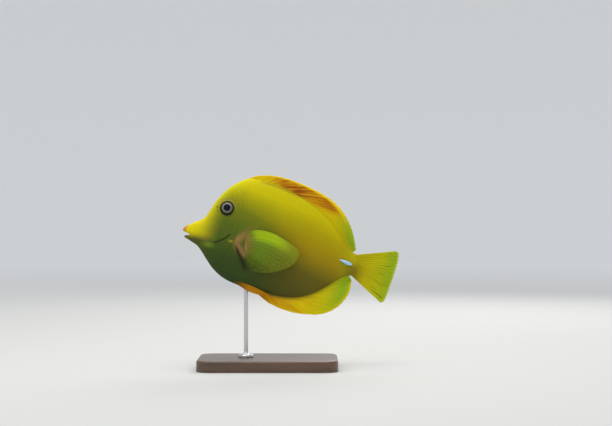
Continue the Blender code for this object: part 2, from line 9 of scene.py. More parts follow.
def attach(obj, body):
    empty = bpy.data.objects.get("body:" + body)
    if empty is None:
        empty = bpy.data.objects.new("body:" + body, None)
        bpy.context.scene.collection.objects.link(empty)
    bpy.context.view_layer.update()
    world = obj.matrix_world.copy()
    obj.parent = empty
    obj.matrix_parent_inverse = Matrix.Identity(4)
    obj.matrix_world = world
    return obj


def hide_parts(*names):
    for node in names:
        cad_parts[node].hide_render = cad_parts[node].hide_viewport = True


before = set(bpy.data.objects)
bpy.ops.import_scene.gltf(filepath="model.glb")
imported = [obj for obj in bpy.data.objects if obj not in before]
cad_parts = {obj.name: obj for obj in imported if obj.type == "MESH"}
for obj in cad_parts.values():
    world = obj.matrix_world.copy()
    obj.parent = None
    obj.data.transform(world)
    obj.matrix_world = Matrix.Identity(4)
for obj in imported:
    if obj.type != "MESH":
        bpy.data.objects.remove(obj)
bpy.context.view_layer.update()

mm = 0.001  # the fish's own sizes below are in millimetres, and the frame is in metres

# The fish's own frame: x from snout to tail, y across with the left side at -y, z up
pose = {"snout": (-60.2, 0.0, 96.0), "noseUp": math.radians(13.0)}
fishToWorld = (
    Matrix.Translation(Vector(pose["snout"]) * mm)
    @ Euler((0, pose["noseUp"], 0)).to_matrix().to_4x4()
    @ Matrix.Scale(mm, 4)
)


# Curves and soft steps

def along(rows, place):
    # smooth curve through the rows, at places such as 2.5, half way from row 2 to row 3
    rows = np.asarray(rows, float)
    place = np.clip(np.asarray(place, float), 0, len(rows) - 1)
    row = np.minimum(place.astype(int), len(rows) - 2)
    part = (place - row)[..., None]
    before, here = rows[np.maximum(row - 1, 0)], rows[row]
    after, beyond = rows[row + 1], rows[np.minimum(row + 2, len(rows) - 1)]
    return here + 0.5 * part * (
        (after - before)
        + part * (2 * before - 5 * here + 4 * after - beyond)
        + part**2 * (3 * (here - after) + beyond - before)
    )


def byLength(points, steps=16):
    # reads the smooth curve through the points by its share of the length
    line = along(points, np.linspace(0, len(points) - 1, (len(points) - 1) * steps + 1))
    travel = np.append(0, np.cumsum(np.linalg.norm(np.diff(line, axis=0), axis=1)))

    def at(share):
        return np.stack([np.interp(np.asarray(share) * travel[-1], travel, axis) for axis in line.T], -1)

    return at


def softStep(value, low, high):
    share = np.clip((value - low) / (high - low), 0, 1)
    return share * share * (3 - 2 * share)


def bump(value, centre, width):
    return np.exp(-(((value - centre) / width) ** 2))


def awayFrom(line, x, z):
    # distance from a polyline, with its sign: positive below or ahead of a line that runs upwards
    line = byLength(line)(np.linspace(0, 1, 41))
    near = np.full(x.shape, 1e9)
    signed = np.zeros(x.shape)
    share = np.zeros(x.shape)
    for i, (start, end) in enumerate(zip(line, line[1:])):
        run = end - start
        part = np.clip(((x - start[0]) * run[0] + (z - start[1]) * run[1]) / (run @ run), 0, 1)
        offX, offZ = x - start[0] - run[0] * part, z - start[1] - run[1] * part
        gap = np.hypot(offX, offZ)
        side = np.sign(run[0] * offZ - run[1] * offX)
        closer = gap < near
        near = np.where(closer, gap, near)
        signed = np.where(closer, gap * side, signed)
        share = np.where(closer, (i + part) / (len(line) - 1), share)
    return signed, share


# Work on meshes, as by hand

def deselectAll():
    if bpy.context.object and bpy.context.object.mode != "OBJECT":
        bpy.ops.object.mode_set(mode="OBJECT")
    bpy.ops.object.select_all(action="DESELECT")


def pickOnly(obj):
    deselectAll()
    obj.select_set(True)
    bpy.context.view_layer.objects.active = obj


def newPiece(name):
    obj = bpy.context.object
    obj.name = obj.data.name = name
    return obj


def coordinates(obj):
    co = np.empty(len(obj.data.vertices) * 3)
    obj.data.vertices.foreach_get("co", co)
    return co.reshape(-1, 3)


def moveTo(obj, co):
    obj.data.vertices.foreach_set("co", np.ascontiguousarray(co, float).ravel())
    obj.data.update()


def normals(obj):
    out = np.empty(len(obj.data.vertices) * 3)
    obj.data.vertices.foreach_get("normal", out)
    return out.reshape(-1, 3)


def setMask(obj, name, values):
    mask = obj.data.attributes.new(name, "FLOAT", "POINT")
    mask.data.foreach_set("value", np.ascontiguousarray(np.clip(values, 0, 1), np.float32))


def facesOut(obj):
    pickOnly(obj)
    bpy.ops.object.mode_set(mode="EDIT")
    bpy.ops.mesh.select_all(action="SELECT")
    bpy.ops.mesh.normals_make_consistent(inside=False)
    bpy.ops.object.mode_set(mode="OBJECT")


def finishPiece(obj, material, slot, *nodes):
    # the place goes into the mesh, and the object stays at the origin
    obj.data.transform(fishToWorld @ obj.matrix_world)
    obj.matrix_world = Matrix.Identity(4)
    obj.data.materials.clear()
    obj.data.materials.append(material)
    pickOnly(obj)
    bpy.ops.object.shade_smooth()
    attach(obj, "root")
    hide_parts(*nodes)
    print(obj.name, len(obj.data.polygons), "faces")


# Shader maths as expressions

class Wire:
    def __init__(self, tree, socket):
        self.tree, self.socket = tree, socket

    def maths(self, operation, *others, **settings):
        settings["operation"] = operation
        return self.tree.add("ShaderNodeMath", settings, (self, *others))

    def __add__(self, other):
        return self.maths("ADD", other)

    def __sub__(self, other):
        return self.maths("SUBTRACT", other)

    def __mul__(self, other):
        return self.maths("MULTIPLY", other)

    def __truediv__(self, other):
        return self.maths("DIVIDE", other)

    def __rsub__(self, other):
        return self.tree.add("ShaderNodeMath", {"operation": "SUBTRACT"}, (other, self))

    __radd__, __rmul__ = __add__, __mul__

    def __pow__(self, power):
        return self.maths("POWER", power)

    def sine(self):
        return self.maths("SINE")

    def size(self):
        return self.maths("ABSOLUTE")

    def most(self, other):
        return self.maths("MAXIMUM", other)

    def rise(self, low, high):
        # soft 0 to 1 as the value goes from low to high, and back down if high is below low
        if high < low:
            return 1 - self.rise(high, low)
        settings = {"interpolation_type": "SMOOTHSTEP"}
        values = {"Value": self, "From Min": low, "From Max": high}
        return self.tree.add("ShaderNodeMapRange", settings, values)

    def spot(self, centre, width):
        # soft 1 at the centre, down to 0 one width away
        return (self - centre).size().rise(width, 0)


class Paint:
    # a material with a Principled shader, and one method that makes its other nodes
    def __init__(self, name, **fixed):
        self.material = bpy.data.materials.new(name)
        self.material.use_nodes = True
        self.nodes = self.material.node_tree.nodes
        self.links = self.material.node_tree.links
        self.shader = self.nodes["Principled BSDF"]
        for socket, value in fixed.items():
            self.shader.inputs[socket].default_value = value

    def add(self, kind, settings=None, values=(), output=0):
        node = self.nodes.new(kind)
        for key, value in (settings or {}).items():
            if key == "stops":
                self.setStops(node, value)
            else:
                setattr(node, key, value)
        pairs = values.items() if isinstance(values, dict) else enumerate(values)
        for key, value in pairs:
            self.feed(node.inputs[key], value)
        return Wire(self, node.outputs[output])

    def setStops(self, node, stops):
        elements = node.color_ramp.elements
        while len(elements) < len(stops):
            elements.new(0.5)
        for element, (place, colour) in zip(elements, stops):
            element.position = place
            element.color = (*colour, 1)

    def feed(self, socket, value):
        if isinstance(value, Wire):
            self.links.new(value.socket, socket)
        elif isinstance(value, (tuple, list)) and len(value) == 3 and socket.type == "RGBA":
            socket.default_value = (*value, 1)
        else:
            socket.default_value = value

    def set(self, name, value):
        self.feed(self.shader.inputs[name], value)

    def mix(self, share, first, second):
        # inputs 6 and 7 are the Mix node's colours, and output 2 is its colour
        return self.add("ShaderNodeMix", {"data_type": "RGBA"}, {0: share, 6: first, 7: second}, 2)

    def ramp(self, value, low, high, stops):
        # colours by value, each stop a value and its colour
        share = self.add("ShaderNodeMapRange", None, {"Value": value, "From Min": low, "From Max": high})
        spread = [((place - low) / (high - low), colour) for place, colour in stops]
        return self.add("ShaderNodeValToRGB", {"stops": spread}, (share,))

    def noise(self, where, scale, detail=3.0, roughness=0.5):
        values = {"Vector": where, "Scale": scale, "Detail": detail, "Roughness": roughness}
        return self.add("ShaderNodeTexNoise", None, values)

    def drawnOut(self, where, scale):
        # the same place with its axes scaled, so that a noise on it is drawn out
        return self.add("ShaderNodeMapping", None, {"Vector": where, "Scale": scale})

    def objectPlace(self):
        return self.add("ShaderNodeTexCoord", None, (), 3)

    def fishPlace(self):
        # Object coordinates turned into the fish's own frame, in millimetres
        back = fishToWorld.inverted()
        settings = {"vector_type": "POINT"}
        values = {
            "Vector": self.objectPlace(),
            "Location": tuple(back.translation),
            "Rotation": tuple(back.to_euler()),
            "Scale": (1 / mm,) * 3,
        }
        return self.add("ShaderNodeMapping", settings, values)

    def parts(self, vector):
        node = self.add("ShaderNodeSeparateXYZ", None, (vector,)).socket.node
        return [Wire(self, node.outputs[i]) for i in range(3)]

    def mask(self, name):
        return self.add("ShaderNodeAttribute", {"attribute_name": name}, (), 2)

    def bumpFrom(self, height, distance, strength=1.0):
        values = {"Height": height, "Distance": distance, "Strength": strength}
        self.set("Normal", self.add("ShaderNodeBump", None, values))


# Skin

body = {
    # top x, top z, bottom x, bottom z, half width, how far the sides are set back
    "sections": (
        (7.5, 0.7, 7.5, -0.7, 0.8, 0.0), (3.4, 0.8, 4.6, -1.3, 1.8, 1.6),
        (0.9, 0.8, 2.6, -1.7, 2.3, 3.7), (0.0, 2.0, 1.9, -2.6, 2.7, 4.4),
        (0.8, 3.8, 3.0, -3.5, 3.05, 4.4), (3.0, 5.7, 4.8, -4.0, 3.3, 3.7),
        (6.5, 8.5, 8.3, -5.3, 3.7, 2.2), (10.0, 10.7, 12.2, -6.9, 4.3, 0.9),
        (13.4, 14.0, 15.8, -9.8, 5.1, 0.2), (15.9, 20.3, 20.3, -14.4, 6.3, 0.0),
        (18.6, 27.0, 26.0, -19.7, 7.4, 0.0), (22.7, 34.2, 32.5, -23.8, 8.3, 0.0),
        (28.6, 41.1, 39.5, -26.3, 9.0, 0.0), (37.0, 47.0, 47.5, -27.6, 9.4, 0.0),
        (47.5, 47.6, 56.5, -28.4, 9.4, 0.0), (60.0, 46.4, 66.0, -28.8, 8.9, 0.0),
        (73.5, 43.2, 76.5, -28.7, 8.1, 0.0), (86.5, 38.2, 87.5, -27.0, 7.0, 0.0),
        (97.5, 32.2, 97.5, -22.4, 5.7, 0.0), (106.5, 25.0, 105.8, -15.6, 4.6, 0.0),
        (113.0, 18.2, 112.6, -9.1, 3.7, 0.0), (118.5, 13.6, 118.4, -4.8, 3.0, 0.0),
        (122.3, 12.3, 122.2, -3.2, 2.4, 0.0), (124.6, 11.0, 124.6, -2.0, 1.6, 0.0),
        (125.8, 8.6, 125.8, 0.6, 0.75, 0.0),
    ),
    "mouthRow": 3, "snoutRow": 8, "shoulderRow": 13,
    "wideSnout": 0.5, "wideTrunk": 0.41, "edgeSnout": 1.0, "edgeTrunk": 1.25,
    "around": 240, "ringStep": 0.46,  # points round a ring, and millimetres between rings
    "gill": (
        (31.0, 55.0), (34.0, 45.0), (37.6, 33.0), (39.0, 20.0), (38.8, 9.0),
        (37.6, 0.0), (34.6, -8.0), (30.0, -15.0), (25.0, -21.0), (21.5, -32.0),
    ),
    "cheekCrease": ((34.2, 7.2), (32.0, 4.0), (28.8, 1.0), (24.3, -1.6)),
    "jawFold": ((4.6, -2.1), (9.5, -2.9), (15.5, -2.9), (20.5, -2.3), (24.3, -1.6)),
    "lateralLine": (
        (40.0, 30.0), (52.0, 36.0), (68.0, 35.5), (84.0, 30.0), (98.0, 21.0), (110.0, 11.0), (120.0, 6.5),
    ),
    # path of a painted shadow in front of the pectoral fin's free edge
    "pocket": ((38.4, 1.5), (41.6, -4.2), (45.0, -8.8), (47.8, -13.0), (50.4, -17.8)),
    "axil": ((46.2, -5.5), (42.3, -2.2), (39.4, 2.2), (42.8, 7.8), (49.0, 13.6)),
    "finRoot": ((39.9, 3.0), (43.2, -1.5), (46.2, -6.0)),
    "nostrils": ((20.3, 22.5, 0.65), (21.4, 19.9, 0.5)),  # x, z and radius
    # the dark line under the dorsal fin is painted shadow
    "backLine": (43.0, 52.0, 66.0, 78.0),  # where the dark line under the dorsal fin rises and fades
}
# the forms raised on the skin: height, or depth where negative, and half width, both in millimetres
relief = {
    "gillFlare": (0.6, 5.0), "gillSlit": (-0.2, 0.55),
    "cheekCrease": (-0.5, 0.42), "cheekSwell": (0.22, 0.8),
    "jawFold": (-0.12, 0.5), "jawSwell": (0.1, 1.1),
    "eyeRim": (0.42, 0.5), "eyeFurrow": (-0.12, 0.6), "eyeSocket": (-2.4, 4.45),
    "nostrilRim": (0.16, 0.3), "nostrilPit": (-0.75, 0.8),  # the pit's width is a share of its radius
    "finRoot": (0.9, 2.3), "lateralLine": (0.07, 0.5),
    "grooveRim": (0.2, 0.22), "groove": (-0.3, 1.0),  # widths are shares of the groove's own size
}
groove = {"half": (5.6, 1.75), "tilt": 0.218}


def wideLevel(place):
    trunk = softStep(place, body["snoutRow"] - 2, body["shoulderRow"])
    wide = body["wideSnout"] + (body["wideTrunk"] - body["wideSnout"]) * trunk
    edge = body["edgeSnout"] + (body["edgeTrunk"] - body["edgeSnout"]) * trunk
    return wide, edge


def skinPoint(place, angle):
    # point of the skin at a place along the sections and an angle up from the widest level
    topX, topZ, lowX, lowZ, halfWidth, setBack = np.moveaxis(along(body["sections"], place), -1, 0)
    wide, edge = wideLevel(place)
    rise, side = np.sin(angle), np.cos(angle)
    height = wide + rise * np.where(rise > 0, 1 - wide, wide)
    x = lowX + (topX - lowX) * height + setBack * side**2
    y = halfWidth * np.copysign(np.abs(side) ** edge, side)
    return np.stack([x, y, lowZ + (topZ - lowZ) * height], -1)


def skinSide(x, z):
    # how far the skin is from the middle at one place of the fish's side
    places = np.linspace(body["snoutRow"], len(body["sections"]) - 2, 240)
    topX, topZ, lowX, lowZ = along(body["sections"], places)[:, :4].T
    height = (z - lowZ) / (topZ - lowZ)
    miss = np.abs(lowX + (topX - lowX) * height - x) + np.where((height > 0) & (height < 1), 0, 1e3)
    best = miss.argmin()
    wide = wideLevel(places[best])[0]
    rise = (height[best] - wide) / (1 - wide if height[best] > wide else wide)
    return float(skinPoint(places[best], math.asin(min(max(rise, -1), 1)))[1])


def raised(form, away):
    # height of one form at a distance from its middle
    height, width = relief[form]
    return height * bump(away, 0, width)


def gillRelief(x, z):
    # gill cover: a plate that stands out to its rear edge, with the slit behind it
    ahead = awayFrom(body["gill"], x, z)[0]
    plate = softStep(z, -26, -12) * (1 - softStep(z, 8, 22))
    height, reach = relief["gillFlare"]
    flare = height * np.exp(-np.maximum(ahead, 0) / reach) * softStep(ahead, -0.45, 0.1)
    return plate * (flare + raised("gillSlit", ahead + 0.75))


def cheekRelief(x, z):
    # cheek crease with a soft swell on both sides, and the fold along the jaw
    away, share = awayFrom(body["cheekCrease"], x, z)
    ends = softStep(share, 0.0, 0.2) * (1 - 0.4 * softStep(share, 0.9, 1.0))
    out = ends * (raised("cheekCrease", away) + raised("cheekSwell", np.abs(away) - 1.1))
    jaw = awayFrom(body["jawFold"], x, z)[0]
    out += raised("jawFold", jaw) * softStep(x, 4.5, 7)
    return out + raised("jawSwell", jaw - 1.4) * softStep(x, 6, 10)


def eyeRelief(x, z):
    # raised rim round the eye, a faint furrow outside it and the socket inside
    eyeX, _, eyeZ = eye["centre"]
    around = np.hypot(x - eyeX, z - eyeZ)
    depth, edge = relief["eyeSocket"]
    return (
        raised("eyeRim", around - 4.85) + raised("eyeFurrow", around - 6.0)
        + depth * (1 - softStep(around, 3.6, edge))
    )


def nostrilRelief(x, z):
    # nostrils, each a pit in a low rim
    out = np.zeros(x.shape)
    depth, share = relief["nostrilPit"]
    for pitX, pitZ, radius in body["nostrils"]:
        reach = np.hypot(x - pitX, z - pitZ)
        out += raised("nostrilRim", reach - radius * 1.6) + depth * bump(reach, 0, radius * share)
    return out


def flankRelief(x, z):
    # fleshy root of the pectoral fin, and the soft lateral line
    out = raised("finRoot", awayFrom(body["finRoot"], x, z)[0])
    away, share = awayFrom(body["lateralLine"], x, z)
    return out + raised("lateralLine", away) * softStep(share, 0, 0.05) * (1 - softStep(share, 0.95, 1))


def grooveRelief(x, z):
    # groove that the tail's spine folds into
    offX, offZ = x - scalpel["centre"][0], z - scalpel["centre"][1]
    turnX, turnZ = math.cos(groove["tilt"]), math.sin(groove["tilt"])
    halfLength, halfWidth = groove["half"]
    reach = np.hypot((offX * turnX - offZ * turnZ) / halfLength, (offX * turnZ + offZ * turnX) / halfWidth)
    depth, edge = relief["groove"]
    return raised("grooveRim", reach - 1.15) + depth * (1 - softStep(reach, 0.75, edge))


def skinRelief(x, y, z):
    # how far the skin stands out or in, by its place on the fish's side, and nothing near the middle
    forms = (gillRelief, cheekRelief, eyeRelief, nostrilRelief, flankRelief, grooveRelief)
    return softStep(np.abs(y), 0.6, 2.2) * sum(form(x, z) for form in forms)


def ringPlaces():
    # places along the sections that put the skin's rings about ringStep apart
    rows, nudge = body["sections"], 0.02
    places = [0.0]
    while places[-1] < len(rows) - 1:
        here = skinPoint(np.array([places[-1], places[-1] + nudge]), np.zeros(2))
        pace = np.linalg.norm(along(rows, places[-1] + nudge)[:4] - along(rows, places[-1])[:4]) / 1.5
        pace = max(pace, np.linalg.norm(here[1] - here[0]))
        places.append(places[-1] + nudge * body["ringStep"] / max(pace, 1e-3))
    return np.array(places[:-1] + [len(rows) - 1])


def makeSkin():
    # a grid rolled into rings, closed along its seam and at both ends
    places = ringPlaces()
    bpy.ops.mesh.primitive_grid_add(x_subdivisions=body["around"], y_subdivisions=len(places) - 1, size=2)
    skin = newPiece("tangSkin")
    across, up = coordinates(skin)[:, :2].T
    order = np.rint((up + 1) / 2 * (len(places) - 1)).astype(int)
    moveTo(skin, skinPoint(places[order], across * math.pi))
    pickOnly(skin)
    bpy.ops.object.mode_set(mode="EDIT")
    bpy.ops.mesh.select_all(action="SELECT")
    bpy.ops.mesh.remove_doubles(threshold=1e-4)
    bpy.ops.mesh.select_all(action="DESELECT")
    bpy.ops.mesh.select_non_manifold()
    bpy.ops.mesh.fill_holes(sides=0)
    bpy.ops.object.mode_set(mode="OBJECT")
    facesOut(skin)
    co = coordinates(skin)
    moveTo(skin, co + normals(skin) * skinRelief(*co.T)[:, None])
    paintMasks(skin, co)
    finishPiece(skin, skinMaterial(), "skin", "head", "trunk", "tail_root")


def paintMasks(skin, co):
    # marks whose outline is a form of the skin, each 0 to 1 on its points
    x, y, z = co.T
    eyeX, _, eyeZ = eye["centre"]
    around = np.hypot(x - eyeX, z - eyeZ)
    lower = softStep(eyeZ - z + 0.6 * (eyeX - x), -2, 4)  # the dark ring is broader below and in front
    # the dark ring round the eye is painted shade in its socket, broader below and in front
    setMask(skin, "orbit", 1 - softStep(around, 4.7 + 0.25 * lower, 5.2 + 0.5 * lower))
    setMask(skin, "brow", bump(around, 6.1, 0.7) * softStep(z - eyeZ, -1, 4))
    # painted shade along the gill cover's edge
    gill = awayFrom(body["gill"], x, z)[0]
    plate = softStep(z, -22, -10) * (1 - softStep(z, 2, 14))
    setMask(skin, "gillEdge", plate * bump(gill, -0.7, 0.6))
    # painted shade in the nostril pits
    pits = [bump(np.hypot(x - pitX, z - pitZ), 0, radius * 0.85) for pitX, pitZ, radius in body["nostrils"]]
    setMask(skin, "pits", np.max(pits, axis=0))
    # how near the point is to the forehead's and the back's edge, for the painted highlight along that edge
    # and the painted shadow line under the dorsal fin
    rows = np.array(body["sections"])
    back = np.abs(awayFrom(rows[body["mouthRow"]:-1, :2], x, z)[0])
    setMask(skin, "crown", np.exp(-back / 3.2))
    start, full, fading, end = body["backLine"]
    shown = softStep(x, start, full) * (1 - softStep(x, fading, end))
    setMask(skin, "backLine", shown * bump(back, 0.9, 0.7))
    # painted shadow in front of the pectoral fin's free edge, and the ruddy skin at the fin's root
    fold, share = awayFrom(body["pocket"], x, z)
    width = 0.8 + 1.2 * bump(share, 0.62, 0.3)
    ends = softStep(share, 0, 0.25) * (1 - softStep(share, 0.8, 1))
    setMask(skin, "pocket", bump(fold / width, 0, 1) * ends)
    root, share = awayFrom(body["axil"], x, z)
    setMask(skin, "axil", bump(root, 0, 2.4) * (1 - 0.7 * softStep(share, 0.55, 1)))
    # lips, and the mouth inside them painted dark as shade, by how far ahead the point is
    front = 0.35 * np.maximum(z, 0) + 0.9 * np.maximum(-z, 0)
    setMask(skin, "lips", (1 - softStep(x - front * 0.6, 0.9, 3.2)) * (np.abs(z) < 6))
    gap = (np.abs(z + 0.45 + x * 0.12) < 1.15) & (x < 9)
    setMask(skin, "mouth", gap * softStep(x, 1.7, 3.0) * (1 - softStep(np.abs(y), 1.4, 2.6)))


# the flank's front and rear ramps darken downwards, partly the fish's olive tint and partly painted shade;
# the colours for the forehead's edge and the snout are painted light, and those for the jaw, the tail's
# root, the shadow ahead of the pectoral fin, the line under the dorsal fin, the crease, the gill cover's
# edge, the nostril pits, the ring round the eye and the mouth are painted shade
skinTints = {
    "front": (
        (-24, (0.035, 0.065, 0.016)), (-8, (0.052, 0.085, 0.014)), (12, (0.095, 0.14, 0.012)),
        (24, (0.17, 0.19, 0.008)), (33, (0.36, 0.33, 0.003)), (42, (0.56, 0.48, 0.001)),
    ),
    "rear": (
        (-20, (0.088, 0.085, 0.018)), (5, (0.155, 0.125, 0.012)), (18, (0.33, 0.235, 0.006)),
        (26, (0.39, 0.285, 0.003)), (36, (0.43, 0.345, 0.002)), (45, (0.54, 0.46, 0.001)),
    ),
    "tail": (
        (112, (0.35, 0.31, 0.004)), (121, (0.44, 0.37, 0.002)), (132, (0.51, 0.43, 0.002)),
        (142, (0.46, 0.47, 0.004)), (150, (0.25, 0.40, 0.010)),
    ),
    "tailShade": (0.17, 0.13, 0.012),
    "snout": (0.72, 0.60, 0.003), "crown": (0.70, 0.64, 0.002), "jaw": (0.085, 0.10, 0.016),
    "throat": (0.18, 0.27, 0.020), "mottle": (0.09, 0.09, 0.008), "lips": (0.55, 0.19, 0.035),
    "lowerLip": (0.32, 0.10, 0.045), "jawFold": (0.23, 0.13, 0.05), "brow": (0.34, 0.22, 0.10),
    "crease": (0.012, 0.016, 0.005), "pits": (0.14, 0.07, 0.03), "orbit": (0.010, 0.013, 0.008),
    "mouth": (0.03, 0.008, 0.006), "pocket": (0.016, 0.020, 0.006), "axil": (0.36, 0.19, 0.065),
    "axilSpot": (0.55, 0.48, 0.01), "backLine": (0.20, 0.12, 0.004),
    "levels": (-30, 50), "tailReach": (108, 153),  # where the ramps start and end
}
# the cheek's crease is a shallow arc: its front end, its direction, its length and its sag
crease = {"start": (22.8, -2.7), "way": (0.755, 0.656), "length": 15.1, "sag": 1.15, "half": 0.36}


def bodyTintAndShade(paint, where):
    # the body's colours with painted shade: darker and more olive low on the flank, partly the fish's own
    # tint and partly painted shade, which the fins take up where they meet it
    x, _, z = paint.parts(where)
    broad = paint.noise(where, 0.045, 2.0)
    fine = paint.noise(where, 0.5, 4.0, 0.6)
    # the shaded side of the flank rises towards the eye, so its level slopes down to the rear
    level = z + x * 0.25 - 9 + (broad - 0.5) * 6 + (fine - 0.5) * 2
    front = paint.ramp(level, *skinTints["levels"], skinTints["front"])
    rear = paint.ramp(level, *skinTints["levels"], skinTints["rear"])
    colour = paint.mix(x.rise(46, 90), front, rear)
    # the tail turns golden, then green, over brown painted shade low on its root
    golden = paint.ramp(x, *skinTints["tailReach"], skinTints["tail"])
    colour = paint.mix(x.rise(110, 121), colour, golden)
    shade = x.spot(122.5, 10) * (z - x * 0.05).rise(2.5, -5.5)
    return paint.mix(shade * 0.75, colour, skinTints["tailShade"])


def creaseLine(x, z):
    # 1 on the cheek's crease, which thins out at both ends
    startX, startZ = crease["start"]
    wayX, wayZ = crease["way"]
    onward = (x - startX) * wayX + (z - startZ) * wayZ
    across = (z - startZ) * wayX - (x - startX) * wayZ
    share = onward / (crease["length"] / 2) - 1
    sag = (1 - share * share) * -crease["sag"]
    ends = share.size().rise(1.0, 0.72)
    return (across - sag).size().rise(crease["half"] * 1.5, crease["half"] * 0.6) * ends


def headColoursAndLight(paint, colour, x, z):
    # painted highlight along the forehead's edge, a golden snout painted lighter where the light falls on
    # it, and painted shade on the jaw with a paler green throat behind it
    colour = paint.mix(paint.mask("crown") * x.rise(52, 34) * 0.85, colour, skinTints["crown"])
    snout = x.rise(27, 6) * (z - x * 0.02).rise(-4.2, 3.0)
    colour = paint.mix(snout * 0.95, colour, skinTints["snout"])
    under = z - x * 0.06
    colour = paint.mix(under.rise(-0.8, -4.0) * x.rise(24, 12) * 0.75, colour, skinTints["jaw"])
    colour = paint.mix(x.spot(20, 7) * z.spot(-4.2, 3.2) * 0.75, colour, skinTints["throat"])
    fold = under.spot(-2.5, 0.8) * x.rise(5, 9) * x.rise(24, 17)
    return paint.mix(fold * 0.7, colour, skinTints["jawFold"])


def softMarksAndShadows(paint, colour, x, z):
    # round the pectoral fin's root with painted shadow in front of its free edge, over the eye, and a
    # painted shadow line along the back
    colour = paint.mix(paint.mask("axil") * 0.8, colour, skinTints["axil"])
    colour = paint.mix(paint.mask("pocket") * 0.93, colour, skinTints["pocket"])
    colour = paint.mix(x.spot(35.0, 3.0) * z.spot(1.7, 1.4) * 0.5, colour, skinTints["axilSpot"])
    colour = paint.mix(paint.mask("brow") * 0.45, colour, skinTints["brow"])
    return paint.mix(paint.mask("backLine") * 0.6, colour, skinTints["backLine"])


def headWrinkles(paint, where, x, z):
    # fine upright wrinkles between the snout and the gill cover
    upright = paint.drawnOut(where, (1.1, 1.1, 0.16))
    shown = x.rise(12, 22) * x.rise(44, 34) * z.rise(1, 9) * (z - x * 0.6).rise(22, 12)
    return paint.noise(upright, 1.0, 3.0, 0.6).rise(0.42, 0.68) * shown


def edgedMarksAndShade(paint, colour, z, line):
    # lips, and painted shade in the crease, along the gill cover's edge, in the nostrils, in the dark ring
    # round the eye and in the mouth
    lip = paint.mix(z.rise(-0.9, 0.3), skinTints["lowerLip"], skinTints["lips"])
    colour = paint.mix(paint.mask("lips") * 0.85, colour, lip)
    colour = paint.mix(paint.mask("gillEdge") * 0.12, colour, skinTints["crease"])
    colour = paint.mix(line * 0.85, colour, skinTints["crease"])
    colour = paint.mix(paint.mask("pits") * 0.75, colour, skinTints["pits"])
    colour = paint.mix(paint.mask("orbit") * 0.95, colour, skinTints["orbit"])
    return paint.mix(paint.mask("mouth") * 0.95, colour, skinTints["mouth"])


def skinMaterial():
    paint = Paint("tangSkin", **{
        "Subsurface Weight": 0.08, "Subsurface Scale": 0.002, "Specular IOR Level": 0.07,
    })
    where = paint.fishPlace()
    x, _, z = paint.parts(where)
    wrinkles = headWrinkles(paint, where, x, z)
    mottle = paint.noise(where, 1.3, 5.0, 0.65)
    line = creaseLine(x, z)
    colour = headColoursAndLight(paint, bodyTintAndShade(paint, where), x, z)
    colour = softMarksAndShadows(paint, colour, x, z)
    colour = paint.mix(wrinkles * 0.26, colour, skinTints["mottle"])
    colour = paint.mix(mottle.rise(0.45, 0.75) * 0.16, colour, skinTints["mottle"])
    paint.set("Base Color", edgedMarksAndShade(paint, colour, z, line))
    paint.set("Roughness", 0.42 + mottle * 0.2)
    # fine scales, with the wrinkles and the crease sunk in
    cells = {"Vector": where, "Scale": 1.7, "Randomness": 0.6}
    scales = paint.add("ShaderNodeTexVoronoi", {"feature": "F1"}, cells)
    grain = paint.noise(where, 5.0, 2.0)
    height = scales * -0.8 + grain * 0.3 + mottle * 0.5 - wrinkles * 0.8 - line * 2.5
    paint.bumpFrom(height, 0.12 * mm, 0.75)
    return paint.material


# Eyes

eye = {
    "centre": (27.4, 5.15, 23.5), "radius": 4.35, "depth": 3.5, "pupil": 2.5,
    "forward": 5.0, "up": 9.0,  # where it looks, in degrees
    "pupilRise": 0.10, "dish": 0.05,  # shares of the radius
    "grey": (0.16, 0.17, 0.11), "dark": (0.08, 0.10, 0.05), "rosy": (0.21, 0.15, 0.14),
    "edge": (0.010, 0.012, 0.010), "ring": (0.40, 0.39, 0.41), "black": (0.002, 0.003, 0.012),
}


def makeEye(name, side, node, material):
    # a ball with its front shaped in rings: raised pupil, hollowed iris and a dark edge
    bpy.ops.mesh.primitive_uv_sphere_add(segments=64, ring_count=48, radius=1)
    ball = newPiece(name)
    co = coordinates(ball)
    reach = np.hypot(co[:, 0], co[:, 1])
    front = co[:, 2] > 0
    share = eye["pupil"] / eye["radius"]
    co[:, 2] += front * eye["pupilRise"] * (1 - softStep(reach, share - 0.06, share + 0.02))
    co[:, 2] -= front * eye["dish"] * bump(reach, 0.66, 0.14)
    co *= (eye["radius"], eye["radius"], eye["depth"])
    moveTo(ball, co)
    setMask(ball, "pupil", front * (1 - softStep(reach, share - 0.045, share + 0.005)))
    setMask(ball, "iris", front * softStep(reach, share, share + 0.08) * (1 - softStep(reach, 0.86, 0.97)))
    setMask(ball, "paleRing", front * bump(reach, share + 0.055, 0.035))
    facing = Euler((-side * math.pi / 2, 0, 0)).to_matrix()
    look = Euler((side * math.radians(eye["up"]), 0, side * math.radians(eye["forward"]))).to_matrix()
    x, y, z = eye["centre"]
    ball.data.transform(Matrix.Translation((x, side * y, z)) @ (look @ facing).to_4x4())
    finishPiece(ball, material, "eye", node)


def eyeMaterial():
    paint = Paint("tangEye", **{
        "Coat Weight": 0.12, "Coat Roughness": 0.05, "Roughness": 0.3, "Specular IOR Level": 0.08,
    })
    where = paint.fishPlace()
    speckle = paint.noise(where, 2.2, 5.0, 0.6)
    broad = paint.noise(where, 0.5, 2.0)
    iris = paint.mix(speckle.rise(0.35, 0.7), eye["grey"], eye["dark"])
    iris = paint.mix(broad.rise(0.45, 0.65) * 0.6, iris, eye["rosy"])
    colour = paint.mix(paint.mask("iris"), eye["edge"], iris)
    colour = paint.mix(paint.mask("paleRing") * 0.8, colour, eye["ring"])
    paint.set("Base Color", paint.mix(paint.mask("pupil"), colour, eye["black"]))
    return paint.material


# Fins

